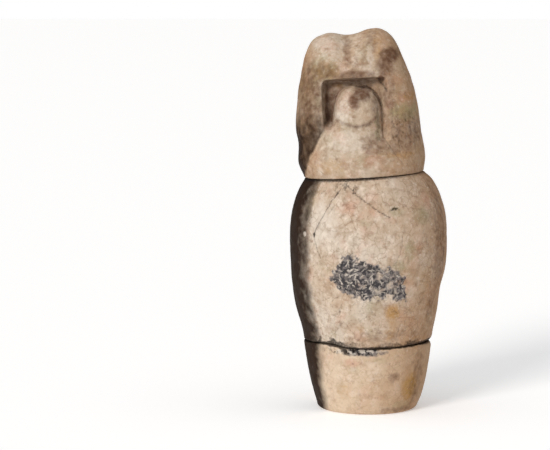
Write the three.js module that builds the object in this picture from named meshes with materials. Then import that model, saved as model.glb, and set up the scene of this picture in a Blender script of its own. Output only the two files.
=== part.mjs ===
// A canopic jar of calcite, the banded stone called Egyptian alabaster. It is three pieces of stone: a hollow
// jar with high shoulders, the jar's own foot, which has broken off and been set back, and a lid carved as a
// dog's head in a heavy wig, whose blunt muzzle stands in a deep niche.
// Millimetres, +Z up. The muzzle looks along -Y, and +X is to the right of someone facing it. The origin is
// the centre of the underside of the foot.
import * as THREE from "three";

const { smoothstep, lerp, clamp, degToRad } = THREE.MathUtils;

// ---- Driving sizes of the jar ----
const SHOULDER_HEIGHT = 220; // the mouth's flat rim, where it crosses the jar's axis
const BELLY_RADIUS = 74; // the jar at its widest
const BREAK_HEIGHT = 63.3; // where the foot broke off, at the front
const FOOT_RADIUS = 43.6; // the flat underside
const FOOT_EDGE = 5; // rounding between underside and wall
const FLOOR_HEIGHT = 34; // thickness of the stone under the hollow
const FLOOR_COVE = 10; // rounding between floor and hollow
const MOUTH_RADIUS = 38.5; // the mouth that the lid's tenon drops into
const MOUTH_SHIFT = -2; // the mouth lies left of the jar's axis
const RIM_LEAN = degToRad(3.3); // the rim was cut out of level, higher on the right
const JOINT_GAP = 0.5; // between pieces that touch
const CRUMBLED = 1.4; // how far both edges of the break have worn back
const WORN = { angle: 1.65, z: 113, depth: 3.6 }; // a worn hollow low on the jar's right

// ---- Driving sizes of the lid, in its own frame, with its underside at z = 0 ----
const LID_SHIFT = -5.6; // the lid was set down left of the jar's axis
const HEAD_HEIGHT = 133.5; // the crown, before the ears are shaped
const HEAD_RADIUS = 59.5; // half the lid's width, at the hem of the wig
const HEM_HEIGHT = 19.5; // the crease over the wig's rolled hem
const HOOD_DEPTH = 0.88; // depth of the hood as a share of its width
const HOOD_SET_BACK = 4; // the hood's axis lies behind the hem's
const CROWN_START = 100; // the crown starts to round over here
const TENON_RADIUS = 34;
const TENON_DEPTH = 12;
// The niche around the muzzle, and the core of stone that runs from the muzzle down to the hem as a bib.
const NICHE = { left: -32.5, right: 32.5, top: 91.5, corner: 6, depth: 17, leftEnd: 46, rightEnd: 34 };
const MUZZLE = { x: -1, halfWidth: 23.3, lip: 47.5, dome: 60, top: 84.5, snout: 2.2 };
const CORE = { bib: 3.4, neck: 8, leftFrom: 49, leftSpread: 0.74, rightFrom: 36, rightSpread: 0.6 };
const EARS = {
  left: { x: -25, width: 6, rise: 1.2 },
  dip: { x: -6, width: 8, depth: 3.8 },
  right: { x: 24, width: 7, rise: 3.4 },
};

// Outlines as shares of a height and of the widest radius, smooth from one station to the next.
const JAR_OUTLINE = [
  [0.023, 0.659], [0.132, 0.742], [0.255, 0.803], [0.341, 0.832], [0.459, 0.926], [0.532, 0.967],
  [0.6, 0.986], [0.718, 1.0], [0.823, 0.984], [0.909, 0.919], [0.977, 0.818], [1.009, 0.72], [1.027, 0.64],
];
const HOLLOW_OUTLINE = [
  [0.2, 0.45], [0.28, 0.515], [0.45, 0.63], [0.63, 0.7], [0.77, 0.69], [0.9, 0.59], [1, 0.52],
];
const HEAD_OUTLINE = [
  [0.006, 0.941], [0.07, 0.983], [0.127, 1.0], [0.217, 0.983], [0.27, 0.975], [0.33, 0.98], [0.434, 0.966],
  [0.607, 0.911], [0.719, 0.847], [0.831, 0.767], [1.0, 0.645],
];

// ---- Grid of the faceted solids ----
const JAR_SECTORS = 48;
const LID_SECTORS = 64;
// Grid lines that climb the lid's front. They run along the edges of niche and muzzle, to keep these crisp.
const MUZZLE_LINES = [-1, -0.9, -0.72, -0.48, -0.2, 0.08, 0.36, 0.64, 0.86, 1];
const FRONT_LINES = [
  ...[-3.5, 0, 3].map((step) => NICHE.left + step),
  ...MUZZLE_LINES.map((share) => MUZZLE.x + share * MUZZLE.halfWidth),
  ...[-7, -3.5, 0, 4.5].map((step) => NICHE.right + step),
];

// ---- Helpers ----
const bump = (x, centre, width) => Math.exp(-(((x - centre) / width) ** 2) / 2);
const rounded = (t, n) => Math.max(0, 1 - t ** n) ** (1 / n);

// A smooth curve through an outline's stations, as a function from height to radius.
function radiusAt(outline, height, widest) {
  const curve = new THREE.SplineCurve(outline.map(([z, r]) => new THREE.Vector2(r * widest, z * height)));
  const points = curve.getPoints(outline.length * 16);
  return (z) => {
    const above = points.findIndex((p) => p.y >= z);
    if (above < 0) return points.at(-1).x;
    if (above === 0) return points[0].x;
    const [a, b] = [points[above - 1], points[above]];
    return lerp(a.x, b.x, (z - a.y) / (b.y - a.y));
  };
}

const jarRadius = radiusAt(JAR_OUTLINE, SHOULDER_HEIGHT, BELLY_RADIUS);
const hollowRadius = radiusAt(HOLLOW_OUTLINE, SHOULDER_HEIGHT, BELLY_RADIUS);
const wigRadius = radiusAt(HEAD_OUTLINE, HEAD_HEIGHT, HEAD_RADIUS);

function headRadius(z) {
  const towardsCrown = clamp((z - CROWN_START) / (HEAD_HEIGHT - CROWN_START), 0, 1);
  return wigRadius(z) * rounded(towardsCrown, 5);
}

// Points of an outline between two heights, with both ends, in rings no further apart than a pitch.
function rings(radius, from, to, pitch) {
  const count = Math.max(1, Math.ceil(Math.abs(to - from) / pitch));
  return Array.from({ length: count + 1 }, (_, i) => {
    const z = lerp(from, to, i / count);
    return new THREE.Vector2(radius(z), z);
  });
}

// A turned blank, spun about +Z, before it is cut by hand.
function turned(profile, sectors) {
  return new THREE.LatheGeometry(profile, sectors).rotateX(Math.PI / 2);
}

// Moves every vertex of a blank to where the carver left it. The angle is 0 at the front, and grows to the
// right.
function carve(geometry, move) {
  const place = geometry.getAttribute("position");
  const p = new THREE.Vector3();
  for (let i = 0; i < place.count; i++) {
    p.fromBufferAttribute(place, i);
    move(p, Math.atan2(p.x, -p.y), Math.hypot(p.x, p.y));
    place.setXYZ(i, p.x, p.y, p.z);
  }
  geometry.computeVertexNormals();
  return geometry;
}

// ---- The jar and its foot ----

// The break climbs a little away from the front, and steps up left of the front.
function breakRise(angle) {
  return 0.8 * (1 - Math.cos(3 * angle)) + 1.6 * bump(angle, -0.75, 0.2);
}

// How far the surface stands off the turned outline: the plan is never quite round, and one side is worn.
function handCarving(angle, z) {
  const worn = WORN.depth * bump(angle, WORN.angle, 0.5) * bump(z, WORN.z, z < WORN.z ? 15 : 11);
  return 0.25 * Math.sin(2 * angle + 0.6) + 0.25 * Math.sin(3 * angle + 2) - worn;
}

// The rim lies in a leaning plane, so the shoulder reaches higher on the right than on the left.
function carveJar(p, angle, radius) {
  const inWall = smoothstep(radius, MOUTH_RADIUS, jarRadius(p.z) - 2);
  const nearRim = smoothstep(p.z, 0.72 * SHOULDER_HEIGHT, SHOULDER_HEIGHT);
  const lean = radius * Math.sin(angle) * Math.tan(RIM_LEAN) * nearRim;
  const carved = radius + inWall * (jarRadius(p.z + lean) - jarRadius(p.z) + handCarving(angle, p.z));
  p.x = carved * Math.sin(angle) + (1 - inWall) * MOUTH_SHIFT * nearRim;
  p.y = -carved * Math.cos(angle);
  p.z += lean + bump(p.z, BREAK_HEIGHT, 9) * breakRise(angle);
}

// The foot was set back a little askew.
function carveFoot(p, angle, radius) {
  carveJar(p, angle, radius);
  p.x += 0.9 * (1 - p.z / (0.5 * BREAK_HEIGHT));
}

function makeJarBody() {
  const bottom = BREAK_HEIGHT + JOINT_GAP / 2;
  const outside = rings(jarRadius, bottom + CRUMBLED, SHOULDER_HEIGHT - 1, 10.6);
  const profile = [
    ...outside,
    new THREE.Vector2(jarRadius(SHOULDER_HEIGHT) - 0.8, SHOULDER_HEIGHT),
    ...rings(hollowRadius, SHOULDER_HEIGHT, bottom, 27),
    new THREE.Vector2(jarRadius(bottom) - CRUMBLED, bottom),
    outside[0].clone(),
  ];
  return carve(turned(profile, JAR_SECTORS), carveJar);
}

function makeJarFoot() {
  const top = BREAK_HEIGHT - JOINT_GAP / 2;
  const edge = new THREE.Path().absarc(FOOT_RADIUS, FOOT_EDGE, FOOT_EDGE, -Math.PI / 2, 0);
  const coveHeight = FLOOR_HEIGHT + FLOOR_COVE;
  const coveStart = hollowRadius(coveHeight) - FLOOR_COVE;
  const cove = new THREE.Path().absarc(coveStart, coveHeight, FLOOR_COVE, 0, -Math.PI / 2, true);
  const profile = [
    new THREE.Vector2(0, 0),
    ...edge.getPoints(4),
    ...rings(jarRadius, FOOT_EDGE + 6, top - CRUMBLED, 12),
    new THREE.Vector2(jarRadius(top) - CRUMBLED, top),
    new THREE.Vector2(hollowRadius(top), top),
    ...cove.getPoints(3),
    new THREE.Vector2(0, FLOOR_HEIGHT),
  ];
  return carve(turned(profile, JAR_SECTORS), carveFoot);
}

// ---- The lid ----

// How deep the hood is at a height, as a share of how wide it is there: upright at the hem, flatter above its
// crease, and closing over at the crown.
function hoodDepth(z) {
  if (z < 15) return lerp(0.975, 1, smoothstep(z, 0, 8)) * (HEAD_RADIUS / headRadius(z));
  const crease = lerp(1, 0.965, smoothstep(z, HEM_HEIGHT - 1.5, HEM_HEIGHT + 1.5));
  const flat = lerp(crease, HOOD_DEPTH, smoothstep(z, HEM_HEIGHT, 50));
  const towardsCrown = Math.max(0, (z - 70) / (HEAD_HEIGHT + 5.5 - 70));
  return flat * Math.sqrt(1 - towardsCrown ** 2.8);
}

// Depth of the niche at a point of the hood's front: a box with rounded corners, whose right wall slopes. Its
// sides run out lower down, the left one first.
function nicheDepth(x, z) {
  const toTheRight = x > MUZZLE.x;
  const outX = Math.max(NICHE.left + NICHE.corner - x, x - (NICHE.right - NICHE.corner));
  const outZ = z - (NICHE.top - NICHE.corner);
  const outside = Math.hypot(Math.max(outX, 0), Math.max(outZ, 0)) + Math.min(Math.max(outX, outZ), 0);
  const wall = lerp(3, toTheRight ? 6.5 : 3, smoothstep(outX - outZ, -4, 4));
  const end = toTheRight ? NICHE.rightEnd : NICHE.leftEnd;
  const inside = 1 - smoothstep(outside - NICHE.corner, -wall, 0);
  return NICHE.depth * inside * smoothstep(z, end - 7, end + 11);
}

// Half the width of muzzle, neck and bib on one side. The bib spreads to the left from the chin down; to the
// right the neck keeps its width for longer.
function coreHalfWidth(z, toTheRight) {
  const left = CORE.leftSpread * Math.max(0, CORE.leftFrom - z);
  const right = CORE.rightSpread * Math.max(0, CORE.rightFrom - z);
  return MUZZLE.halfWidth + (toTheRight ? right : left);
}

const domeAt = (z) => clamp((z - MUZZLE.dome) / (MUZZLE.top - MUZZLE.dome), 0, 1);

// The core's share of the way from the surface around it to its own front.
function coreShare(x, z) {
  const toTheRight = x > MUZZLE.x;
  const away = Math.abs(x - MUZZLE.x) / (coreHalfWidth(z, toTheRight) * rounded(domeAt(z), 2.4) + 1e-6);
  return away < 1 ? rounded(away, toTheRight ? 2.4 : 3) * rounded(domeAt(z), 2.8) : 0;
}

// How far the core's front stands proud of the hood: a bib below, then the neck, then the snout over its lip.
function coreStand(x, z) {
  const lip = MUZZLE.lip + 6 * ((x - MUZZLE.x) / MUZZLE.halfWidth) ** 2;
  const bib = CORE.bib * smoothstep(z, 2, 26);
  const neck = (CORE.neck - CORE.bib) * smoothstep(z, 28, MUZZLE.lip);
  return bib + neck + MUZZLE.snout * smoothstep(z, lip - 1.5, lip + 1.5);
}

// Two broad upright ears, pressed against each other, with a shallow valley running down between them.
function earRise(x) {
  const { left, dip, right } = EARS;
  const ears = left.rise * bump(x, left.x, left.width) + right.rise * bump(x, right.x, right.width);
  return ears - dip.depth * bump(x, dip.x, dip.width);
}

function earRelief(x, z) {
  const valley = 2.4 * bump(x, EARS.dip.x, 5.5);
  const swell = 1.4 * bump(x, EARS.right.x, 12) + 1.2 * bump(x, EARS.left.x, 11);
  return smoothstep(z, 90, 108) * (valley - swell);
}

// Slides a grid line sideways, so that the lines beside the muzzle follow its dome and the bib's edges.
function alongCore(x, z) {
  const toTheRight = x > MUZZLE.x;
  const narrowed = Math.max(0.55, rounded(domeAt(z), 2.4));
  const width = coreHalfWidth(Math.max(z, HEM_HEIGHT), toTheRight) * narrowed;
  const slide = (width - MUZZLE.halfWidth) * (1 - smoothstep(z, NICHE.top - 3, NICHE.top + 9));
  const away = Math.abs(x - MUZZLE.x);
  const end = slide < 0 ? NICHE.right - 2.5 : HEAD_RADIUS;
  const carried = away < MUZZLE.halfWidth ? away / MUZZLE.halfWidth : (end - away) / (end - MUZZLE.halfWidth);
  return x + (toTheRight ? 1 : -1) * slide * Math.max(0, carried);
}

// Where a sector meets the outline of the hood's front half, as a share of its half width.
function frontShare(sector, z) {
  const inner = (FRONT_LINES.length - 1) / 2;
  if (Math.abs(sector) <= inner) return alongCore(FRONT_LINES[sector + inner], z) / HEAD_RADIUS;
  const last = Math.abs(FRONT_LINES.at(sector < 0 ? 0 : -1)) / HEAD_RADIUS;
  const beyond = (Math.abs(sector) - inner) / (LID_SECTORS / 4 - inner);
  const share = Math.sign(sector) * Math.sin(lerp(Math.asin(last), Math.PI / 2, beyond));
  return clamp(alongCore(share * HEAD_RADIUS, z) / HEAD_RADIUS, -1, 1);
}

// Moves a point of the turned head to the hood's outline, which is a circle at the hem and squarer above it.
// Returns how far forward on that outline the point lies, from 1 at the front to -1 at the back.
function toHood(p, angle, radius) {
  const n = 2 + 0.6 * smoothstep(p.z, HEM_HEIGHT, 60);
  const sector = Math.round(angle / ((2 * Math.PI) / LID_SECTORS));
  const [s, c] = [Math.sin(angle), Math.cos(angle)];
  const square = (Math.abs(s) ** n + Math.abs(c) ** n) ** (-1 / n);
  let [across, ahead] = [s * square, c * square];
  if (Math.abs(sector) <= LID_SECTORS / 4) {
    across = frontShare(sector, p.z);
    ahead = rounded(Math.abs(across), n);
  }
  p.x = radius * across;
  p.y = -radius * ahead * hoodDepth(p.z) + HOOD_SET_BACK * smoothstep(p.z, HEM_HEIGHT, 60);
  return ahead;
}

function carveHead(p, angle, radius) {
  if (p.z < 0.01 && radius < TENON_RADIUS + 1) return; // the tenon stays as it was turned
  const ahead = toHood(p, angle, radius);
  const { x, z } = p;
  if (ahead > 0) {
    const facing = smoothstep(ahead, 0.1, 0.45);
    const hood = p.y + facing * earRelief(x, z);
    const floor = hood + facing * nicheDepth(x, z);
    p.y = lerp(floor, hood - facing * coreStand(x, z), coreShare(x, z));
  } else {
    p.y -= 0.6 * smoothstep(-ahead, 0, 0.5) * earRelief(x, z);
  }
  p.x += 1.3 * (1 - smoothstep(z, 0, 17)) - 1.7 * smoothstep(z, 26, 46) - 1.6 * smoothstep(z, 88, 114);
  p.z += earRise(x) * smoothstep(z, CROWN_START, CROWN_START + 28);
}

function makeLid() {
  const crown = Array.from({ length: 6 }, (_, i) => {
    const z = lerp(CROWN_START, HEAD_HEIGHT, Math.sin(lerp(0.76, Math.PI / 2, i / 5)));
    return new THREE.Vector2(headRadius(z), z);
  });
  const profile = [
    new THREE.Vector2(0, -TENON_DEPTH),
    new THREE.Vector2(TENON_RADIUS - 1, -TENON_DEPTH),
    new THREE.Vector2(TENON_RADIUS, 1 - TENON_DEPTH),
    new THREE.Vector2(TENON_RADIUS, 0),
    new THREE.Vector2(headRadius(0) - 1.5, 0),
    ...rings(headRadius, 1.2, HEM_HEIGHT - 1.5, 5.6),
    ...rings(headRadius, HEM_HEIGHT + 1.5, 27, 3),
    ...rings(headRadius, 30, NICHE.top, 3.5),
    ...rings(headRadius, NICHE.top + 5, CROWN_START + 18, 6),
    ...crown,
  ];
  return carve(turned(profile, LID_SECTORS), carveHead);
}

// ---- Stone ----
function calcite(colour) {
  return new THREE.MeshStandardMaterial({ color: colour, roughness: 0.5, metalness: 0 });
}

const canopicJar = new THREE.Group();

const foot = new THREE.Mesh(makeJarFoot(), calcite(0xc7b098));
foot.name = "jar_foot";
canopicJar.add(foot);

const body = new THREE.Mesh(makeJarBody(), calcite(0xcdb8a2));
body.name = "jar_body";
canopicJar.add(body);

const lid = new THREE.Mesh(makeLid(), calcite(0xb29a80));
lid.name = "lid";
lid.position.set(LID_SHIFT, 0, SHOULDER_HEIGHT + LID_SHIFT * Math.tan(RIM_LEAN) + JOINT_GAP);
lid.rotation.y = -RIM_LEAN;
canopicJar.add(lid);

export default canopicJar;
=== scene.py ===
# %% [markdown]
# # A canopic jar of calcite
#
# A canopic jar stood in an Egyptian tomb and held what the embalmers had taken out of the body. This one is
# cut from calcite, the banded stone that is also called Egyptian alabaster. It is three pieces of stone: a
# hollow jar, the jar's own foot, which broke off and was set back, and a lid carved as a dog's head in a wig.
#
# The solids of the three pieces come packed, and they fix every size. Here each of them gets a finer skin of
# the same form: the worn surface, the crumbled break, cracks, pits, strokes of writing, the stains, and some
# painted shadow, shade and highlights.

# %% Load the solids
import math

import bpy
import numpy as np
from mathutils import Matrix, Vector, noise
from mathutils.bvhtree import BVHTree


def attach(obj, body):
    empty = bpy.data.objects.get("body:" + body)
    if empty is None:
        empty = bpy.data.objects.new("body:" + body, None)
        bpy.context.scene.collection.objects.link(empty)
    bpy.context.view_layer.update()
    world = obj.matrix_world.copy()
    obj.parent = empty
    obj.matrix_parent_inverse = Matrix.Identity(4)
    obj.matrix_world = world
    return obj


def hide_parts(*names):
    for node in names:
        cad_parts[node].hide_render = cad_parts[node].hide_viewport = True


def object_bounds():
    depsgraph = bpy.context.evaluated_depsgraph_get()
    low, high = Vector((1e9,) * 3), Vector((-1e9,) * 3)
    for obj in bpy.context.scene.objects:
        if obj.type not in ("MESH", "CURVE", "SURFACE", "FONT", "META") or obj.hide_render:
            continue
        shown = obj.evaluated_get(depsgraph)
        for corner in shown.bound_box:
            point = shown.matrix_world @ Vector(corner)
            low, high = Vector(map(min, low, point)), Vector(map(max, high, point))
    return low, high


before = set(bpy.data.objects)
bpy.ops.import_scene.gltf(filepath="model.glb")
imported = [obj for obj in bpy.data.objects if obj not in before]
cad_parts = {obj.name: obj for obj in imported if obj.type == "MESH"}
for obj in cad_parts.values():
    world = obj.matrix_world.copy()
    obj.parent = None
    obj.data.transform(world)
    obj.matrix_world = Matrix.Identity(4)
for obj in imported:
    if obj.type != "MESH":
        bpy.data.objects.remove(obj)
cad_low, cad_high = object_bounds()
cad_size = cad_high - cad_low
print("solids:", sorted(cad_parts))
print("whole size in mm:", [round(side * 1000, 1) for side in cad_size])

# %% [markdown]
# ## Outlines of turned stone
#
# A vase maker starts from a round blank and works it down by hand, so each piece is described twice: by the
# outline that it was turned to, and by what carving and wear did to that outline afterwards. An outline is a
# short list of stations, each a height and a radius as shares of the whole, with a smooth curve through them.

# %% Helpers for outlines
MM = 0.001


def smoothstep(x, low, high):
    t = np.clip((x - low) / (high - low), 0, 1)
    return t * t * (3 - 2 * t)


def lerp(a, b, t):
    return a + (b - a) * t


def bump(x, centre, width):
    return np.exp(-(((x - centre) / width) ** 2) / 2)


def rounded(t, power):
    return np.maximum(0, 1 - np.abs(t) ** power) ** (1 / power)


def outline(stations, height, widest):
    """A smooth curve through stations, as a function from height to radius."""
    points = np.array(stations) * (height, widest)
    ends = np.vstack([points[:1], points, points[-1:]])
    t = np.linspace(0, 1, 16, endpoint=False)[:, None]
    spans = []
    for before, a, b, after in zip(ends, ends[1:], ends[2:], ends[3:]):
        leave = (b - before) / 2
        arrive = (after - a) / 2
        cubic = 2 * a - 2 * b + leave + arrive
        square = 3 * b - 3 * a - 2 * leave - arrive
        spans.append(cubic * t**3 + square * t**2 + leave * t + a)
    curve = np.vstack([*spans, points[-1:]])
    return lambda z: np.interp(z, curve[:, 0], curve[:, 1])


# %% Sizes of the jar, in millimetres
SHOULDER_HEIGHT = 220
BELLY_RADIUS = 74
BREAK_HEIGHT = 63.3
FOOT_RADIUS = 43.6
FOOT_EDGE = 5
FLOOR_HEIGHT = 34
FLOOR_COVE = 10
MOUTH_RADIUS = 38.5
MOUTH_SHIFT = -2
RIM_LEAN = math.radians(3.3)
JOINT_GAP = 0.5

jar_radius = outline(
    [
        (0.023, 0.659), (0.132, 0.742), (0.255, 0.803), (0.341, 0.832), (0.459, 0.926), (0.532, 0.967),
        (0.6, 0.986), (0.718, 1.0), (0.823, 0.984), (0.909, 0.919), (0.977, 0.818), (1.009, 0.72),
        (1.027, 0.64),
    ],
    SHOULDER_HEIGHT,
    BELLY_RADIUS,
)
hollow_radius = outline(
    [(0.2, 0.45), (0.28, 0.515), (0.45, 0.63), (0.63, 0.7), (0.77, 0.69), (0.9, 0.59), (1, 0.52)],
    SHOULDER_HEIGHT,
    BELLY_RADIUS,
)
print("wall at the belly in mm:", round(float(jar_radius(158) - hollow_radius(158)), 1))

# %% [markdown]
# ## From rings of points to a mesh
#
# Every piece here is a stack of closed rings, so one function can make the mesh of all three. The rings lie
# closer together where the stone has more to show, such as the front and the panel of writing, and further
# apart at the back. That keeps each piece well under 200,000 triangles and still sharp where it matters.


# %% Rings, meshes and measured attributes
def spread(low, high, count, crowding):
    """Positions from low to high that lie closer together where crowding is greater."""
    x = np.linspace(low, high, 4001)
    weight = crowding(x)
    reached = np.concatenate([[0], np.cumsum((weight[1:] + weight[:-1]) / 2)])
    return np.interp(np.linspace(0, reached[-1], count), reached, x)


def ring_faces(rings, sectors, closed):
    """The quads between neighbouring rings, which run on from the last ring to the first where closed."""
    last = rings if closed else rings - 1
    ring, sector = np.meshgrid(np.arange(last), np.arange(sectors), indexing="ij")
    above = (ring + 1) % rings
    beside = (sector + 1) % sectors
    here, there = ring * sectors, above * sectors
    corners = (here + sector, here + beside, there + beside, there + sector)
    return np.stack(corners, -1).reshape(-1, 4).tolist()


def ring_caps(rings, sectors):
    """The fans that close the first and the last ring to their middle points."""
    first_middle = rings * sectors
    last_middle = first_middle + 1
    last_ring = (rings - 1) * sectors
    faces = []
    for sector in range(sectors):
        beside = (sector + 1) % sectors
        faces.append((first_middle, beside, sector))
        faces.append((last_middle, last_ring + sector, last_ring + beside))
    return faces


def stone_piece(name, points, closed):
    """A smooth mesh from an array of points by ring and sector, in millimetres."""
    rings, sectors = points.shape[:2]
    vertices = points.reshape(-1, 3)
    faces = ring_faces(rings, sectors, closed)
    if not closed:
        vertices = np.vstack([vertices, points[0].mean(0), points[-1].mean(0)])
        faces += ring_caps(rings, sectors)
    mesh = bpy.data.meshes.new(name)
    mesh.from_pydata((vertices * MM).tolist(), [], faces)
    mesh.polygons.foreach_set("use_smooth", [True] * len(mesh.polygons))
    piece = bpy.data.objects.new(name, mesh)
    bpy.context.scene.collection.objects.link(piece)
    return piece


def places(piece):
    """A piece's points in millimetres, and the directions in which its surface faces."""
    count = len(piece.data.vertices)
    points = np.empty(count * 3)
    normals = np.empty(count * 3)
    piece.data.vertices.foreach_get("co", points)
    piece.data.vertices.foreach_get("normal", normals)
    return points.reshape(-1, 3) / MM, normals.reshape(-1, 3)


def move_out(piece, height):
    """Moves each point along its normal by a height in millimetres."""
    points, normals = places(piece)
    moved = (points + normals * height[:, None]) * MM
    piece.data.vertices.foreach_set("co", moved.ravel())
    piece.data.update()


def note(piece, **masks):
    """Stores masks from 0 to 1 on the points, for the stone's colours to read."""
    for name, values in masks.items():
        attribute = piece.data.attributes.new(name, "FLOAT", "POINT")
        attribute.data.foreach_set("value", np.clip(values, 0, 1).astype(np.float32))


# %% [markdown]
# ## The jar's form
#
# The rim leans, the plan is never quite round, one side is worn hollow low down, and the break climbs away
# from the front. A few functions of angle and height say all this, nearly as they do for the solids. The
# angle is zero at the front and grows to the right.


# %% Carve the turned jar
def break_rise(angle):
    """How much higher the break stands at each place round the jar."""
    return 0.8 * (1 - np.cos(3 * angle)) + 1.6 * bump(angle, -0.75, 0.2)


def hand_carving(angle, z):
    """How far the wall departs from its turned form: worn low on the right and full on the left."""
    worn = 3.6 * bump(angle, 1.65, 0.5) * bump(z, 113, np.where(z < 113, 15, 11))
    full = 1.2 * bump(angle, -1.6, 0.5) * bump(z, 89, 13)
    return 0.25 * np.sin(2 * angle + 0.6) + 0.25 * np.sin(3 * angle + 2) + full - worn


def carve_jar(radius, z, angle):
    """Turned points as carved ones, with the rim's lean, the mouth's shift and the break's rise."""
    in_wall = smoothstep(radius, MOUTH_RADIUS, jar_radius(z) - 2)
    near_rim = smoothstep(z, 0.72 * SHOULDER_HEIGHT, SHOULDER_HEIGHT)
    lean = radius * np.sin(angle) * math.tan(RIM_LEAN) * near_rim
    carved = radius + in_wall * (jar_radius(z + lean) - jar_radius(z) + hand_carving(angle, z))
    x = carved * np.sin(angle) + (1 - in_wall) * MOUTH_SHIFT * near_rim
    y = -carved * np.cos(angle)
    return np.stack([x, y, z + lean + bump(z, BREAK_HEIGHT, 9) * break_rise(angle)], -1)


SECTORS = 430
FRONT_CROWDING = 1.8
around = spread(-math.pi, math.pi, SECTORS + 1, lambda a: 1 + FRONT_CROWDING * np.cos(a / 2) ** 4)[:-1]
print("sectors round the jar:", SECTORS)

# %% [markdown]
# ## The crumbled break
#
# Where the foot snapped off, both edges have crumbled away, more in some places than in others. The bite that
# is missing from an edge is a rounded corner, and its size wanders round the jar. A few chips go deeper.


# %% Bites out of the broken edges
def wander(angle, seed, waves):
    """A smooth random line round the jar, from about -1 to 1, with more waves for finer chips."""
    draw = np.random.default_rng(seed)
    total = np.zeros_like(angle)
    for wave in waves:
        total += np.sin(wave * angle + draw.uniform(0, 2 * math.pi)) * draw.uniform(0.5, 1)
    return total / len(waves) ** 0.5


def bite(size, distance):
    """How far a corner with a rounding of that size stands back, at a distance from the broken face."""
    inside = np.clip(1 - distance / size, 0, 1)
    return size * (1 - np.sqrt(1 - inside**2))


def jar_bite(angle):
    """The size of the jar's missing corner: fine chips, a wedge front left and a wide bite on the right."""
    fine = wander(angle, 3, [8, 13, 21, 34, 55])
    wedge = 3.6 * bump(angle, -0.56, 0.09) + 1.1 * bump(angle, 0.1, 0.3) + 4 * bump(angle, 1.5, 0.45)
    return np.clip(1.9 + 0.8 * fine + wedge, 0.6, 6)


def foot_bite(angle):
    """The size of the foot's missing corner: more chips in front and a wide bite on the right."""
    fine = wander(angle, 8, [7, 12, 19, 31, 47])
    chips = (3.1 + 1.6 * fine) * bump(angle, -0.1, 0.22)
    return np.clip(1.4 + 0.6 * fine + chips + 3.4 * bump(angle, 1.5, 0.45), 0.5, 6)


print("deepest bite in mm:", round(float(max(jar_bite(around).max(), foot_bite(around).max())), 1))


# %% [markdown]
# ## The jar and its foot
#
# A profile goes once round the cut stone: up the outside, over the rim, down the inside and along the break.
# It is turned through every sector, then the bites are taken out of its edge, and the carving comes last. The
# jar is open at both ends, so its profile closes on itself. The foot's begins and ends at the middle.


# %% From a profile to rings
def all_round(profile):
    """The radius, height and angle of each point of a profile that is turned through every sector."""
    shape = len(profile), SECTORS
    radius, height = np.array(profile).T[:, :, None]
    return np.broadcast_to(radius, shape), np.broadcast_to(height, shape), np.broadcast_to(around, shape)


def outside_only(radius):
    """1 on the outside of the wall at the break and 0 on its inside."""
    return smoothstep(radius, 45, 52)


print("points in each ring:", len(around))


# %% The skin of the jar
RIM_ROUNDING = 1
bottom = BREAK_HEIGHT + JOINT_GAP / 2
rim_start = SHOULDER_HEIGHT - RIM_ROUNDING


def crowd_at_writing(z):
    """Rows lie closer together at the panel of writing, and most of all at the break."""
    return 1 + 1.3 * bump(z, 131, 24) + 2.5 * bump(z, 64, 3)


outer_rows = spread(bottom, rim_start, 176, crowd_at_writing)
rim_turn = np.linspace(0, 1, 6)[1:] * math.pi / 2
rim_edge = jar_radius(SHOULDER_HEIGHT) - 0.8
rim_rows = (0.33, 0.66, 0.98)
jar_profile = [(jar_radius(z), z) for z in outer_rows]
jar_profile += [
    (lerp(jar_radius(rim_start), rim_edge, 1 - math.cos(t)), rim_start + RIM_ROUNDING * math.sin(t))
    for t in rim_turn
]
jar_profile += [(lerp(rim_edge, hollow_radius(SHOULDER_HEIGHT), t), SHOULDER_HEIGHT) for t in rim_rows]
jar_profile += [(hollow_radius(z), z) for z in np.linspace(rim_start, bottom, 14)]
jar_profile += [(lerp(hollow_radius(bottom), jar_radius(bottom), t), bottom) for t in (0.25, 0.5, 0.75, 0.9)]
turned, height, angle = all_round(jar_profile)
bitten = turned - bite(jar_bite(angle), height - bottom) * outside_only(turned)
jar = stone_piece("jar_skin", carve_jar(bitten, height, angle), closed=True)
print("jar:", len(jar.data.polygons), "faces")

# %% The skin of the foot
FOOT_TILT = 0.3
WORN_CORNER = 0.04
top = BREAK_HEIGHT - JOINT_GAP / 2
cove_top = FLOOR_HEIGHT + FLOOR_COVE
cove_start = hollow_radius(cove_top) - FLOOR_COVE
turns = np.linspace(0, math.pi / 2, 9)


def crowd_at_break(z):
    return 1 + 2 * bump(z, 62, 5)


foot_profile = [(FOOT_RADIUS * share, 0) for share in (0.05, 0.3, 0.6, 0.85, 0.97)]
foot_profile += [(FOOT_RADIUS + FOOT_EDGE * math.sin(t), FOOT_EDGE * (1 - math.cos(t))) for t in turns]
foot_profile += [(jar_radius(z), z) for z in spread(FOOT_EDGE + 1, top, 84, crowd_at_break)]
foot_profile += [(lerp(jar_radius(top), hollow_radius(top), share), top) for share in (0.1, 0.3, 0.6, 1)]
foot_profile += [
    (lerp(hollow_radius(top), cove_start + FLOOR_COVE, share), lerp(top, cove_top, share))
    for share in (0.33, 0.66)
]
foot_profile += [
    (cove_start + FLOOR_COVE * math.cos(t), FLOOR_HEIGHT + FLOOR_COVE * (1 - math.sin(t)))
    for t in turns
]
foot_profile += [(cove_start * share, FLOOR_HEIGHT) for share in (0.7, 0.4, 0.1)]
turned, height, angle = all_round(foot_profile)
bitten = turned - bite(foot_bite(angle), top - height) * outside_only(turned)
points = carve_jar(bitten, height, angle)
points[..., 0] += FOOT_TILT * (1 - height / (0.5 * BREAK_HEIGHT))
points[..., :2] *= 1 - WORN_CORNER * (bump(angle, 1.3, 0.5) * bump(height, 1, 5))[..., None]
foot = stone_piece("foot_skin", points, closed=False)
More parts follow.
